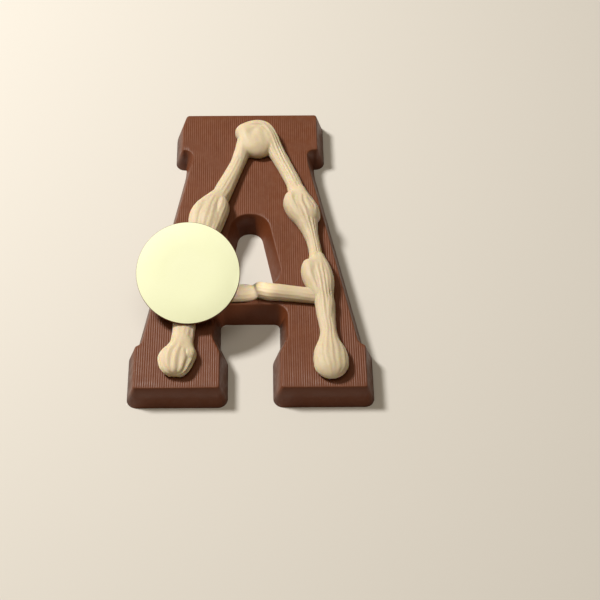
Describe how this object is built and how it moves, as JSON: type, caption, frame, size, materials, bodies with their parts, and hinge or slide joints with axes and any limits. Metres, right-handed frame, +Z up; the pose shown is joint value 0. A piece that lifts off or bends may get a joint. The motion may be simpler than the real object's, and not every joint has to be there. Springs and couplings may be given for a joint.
{
  "type": "chocolate letter",
  "caption": "Milk chocolate letter A with drafted sides, ridged lines of piped white chocolate on its face and a round plaque leaning on the left leg.",
  "frame": {"origin": "on the surface it lies on, under the middle of the letter's back", "axes": "+Y points to the top of the letter, +X to its right as it is read, +Z up, out of its decorated face"},
  "size_m": [0.1156, 0.178, 0.039],
  "materials": {
    "milk_chocolate": "satin milk chocolate with fine ribs along the letter",
    "white_chocolate": "dull piped white chocolate with ridges from a star nozzle",
    "plaque_face": "smooth pale yellow white chocolate, bare of print"
  },
  "bodies": {
    "root": {"letter": "milk_chocolate", "piping_right": "white_chocolate", "piping_left": "white_chocolate", "piping_bar": "white_chocolate", "plaque": "plaque_face"}
  },
  "joints": []
}
